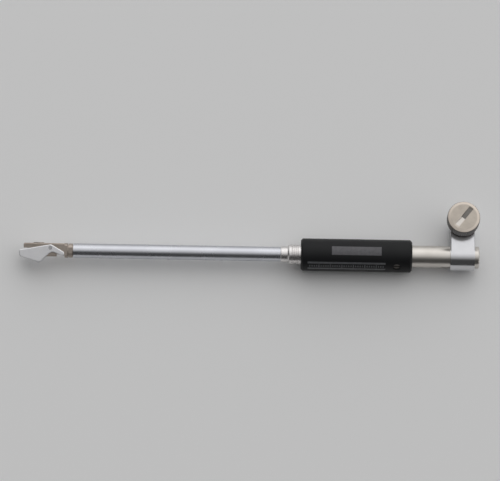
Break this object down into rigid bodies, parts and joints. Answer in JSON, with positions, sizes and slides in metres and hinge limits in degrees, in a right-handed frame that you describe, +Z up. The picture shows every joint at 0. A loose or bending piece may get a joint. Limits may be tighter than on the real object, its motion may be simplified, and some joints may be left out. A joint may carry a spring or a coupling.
{
  "type": "bore gauge",
  "caption": "Bore gauge with a slim stem, a sprung contact and guide shoe at its head, a black grip, and a split clamp with a slotted knob that holds an indicator's stem.",
  "frame": {"origin": "centre of the mouth of the bore that takes the indicator's 8 mm stem", "axes": "+X along the gauge, out of the stem bore's mouth, so the measuring head is at -X; +Z up as the gauge lies, along the clamp screw; +Y toward the clamp's lug"},
  "size_m": [0.2006, 0.0287, 0.0199],
  "materials": {
    "nickel_steel": "satin nickel",
    "ground_steel": "ground",
    "carbide": "polished carbide",
    "pressed_steel": "satin chrome over pressed sheet",
    "spring_steel": "drawn wire",
    "polished_tube": "polished chrome",
    "bearing_bronze": "bronze",
    "core_steel": "turned",
    "black_sleeve": "satin black",
    "dark_steel": "blackened",
    "nickel_tube": "satin nickel",
    "satin_clamp": "satin",
    "nickel_screw": "turned nickel"
  },
  "bodies": {
    "gauge_body": {"head_body": "nickel_steel", "head_lock_ring": "nickel_steel", "stop_pin": "ground_steel", "guide_pivot_upper": "ground_steel", "guide_pivot_lower": "ground_steel", "guide_spring": "spring_steel", "stem_tube": "polished_tube", "stem_bush_front": "bearing_bronze", "stem_bush_back": "bearing_bronze", "nose_collar": "nickel_steel", "grip_core": "core_steel", "grip_sleeve": "black_sleeve", "grip_set_screw": "dark_steel", "rod_guide_bush": "bearing_bronze", "return_spring": "spring_steel", "holder_tube": "nickel_tube", "clamp_collar": "satin_clamp", "clamp_nut": "dark_steel"},
    "push_rod_unit": {"push_rod": "ground_steel", "rod_tip": "ground_steel", "rod_button": "ground_steel", "spring_collar": "ground_steel"},
    "contact_unit": {"contact_plunger": "ground_steel", "contact_tip": "carbide"},
    "guide_shoe_unit": {"guide_shoe": "pressed_steel"},
    "clamp_washer_unit": {"clamp_washer": "dark_steel"},
    "clamp_screw_unit": {"clamp_screw": "nickel_screw"}
  },
  "joints": [
    {"name": "rod_slide", "type": "slide", "parent": "gauge_body", "child": "push_rod_unit", "axis": [1, 0, 0], "range_m": [0, 0.001], "stiffness_N_per_m": 1000, "springref_m": -0.0025, "deforming": ["return_spring"]},
    {"name": "contact_slide", "type": "slide", "parent": "gauge_body", "child": "contact_unit", "axis": [0, 0.9563, 0.2924], "range_m": [0, 0.001]},
    {"name": "guide_swing", "type": "hinge", "parent": "gauge_body", "child": "guide_shoe_unit", "pos_m": [-0.1869, 0.0011, 0.00034], "axis": [0, -0.2924, 0.9563], "range_deg": [-14, 0], "stiffness_Nm_per_rad": 0.02, "springref_deg": 28.65, "deforming": ["guide_spring"]},
    {"name": "clamp_screw_lift", "type": "slide", "parent": "gauge_body", "child": "clamp_washer_unit", "axis": [0, 0, 1], "range_m": [0, 0.0007]},
    {"name": "clamp_screw_turn", "type": "hinge", "parent": "clamp_washer_unit", "child": "clamp_screw_unit", "pos_m": [-0.0073, 0.0145, 0], "axis": [0, 0, 1], "range_deg": [0, 360]}
  ],
  "couplings": [
    {"joint": "contact_slide", "follows": "rod_slide", "ratio": 1},
    {"joint": "clamp_screw_lift", "follows": "clamp_screw_turn", "m_per_rad": 0.00011141}
  ]
}
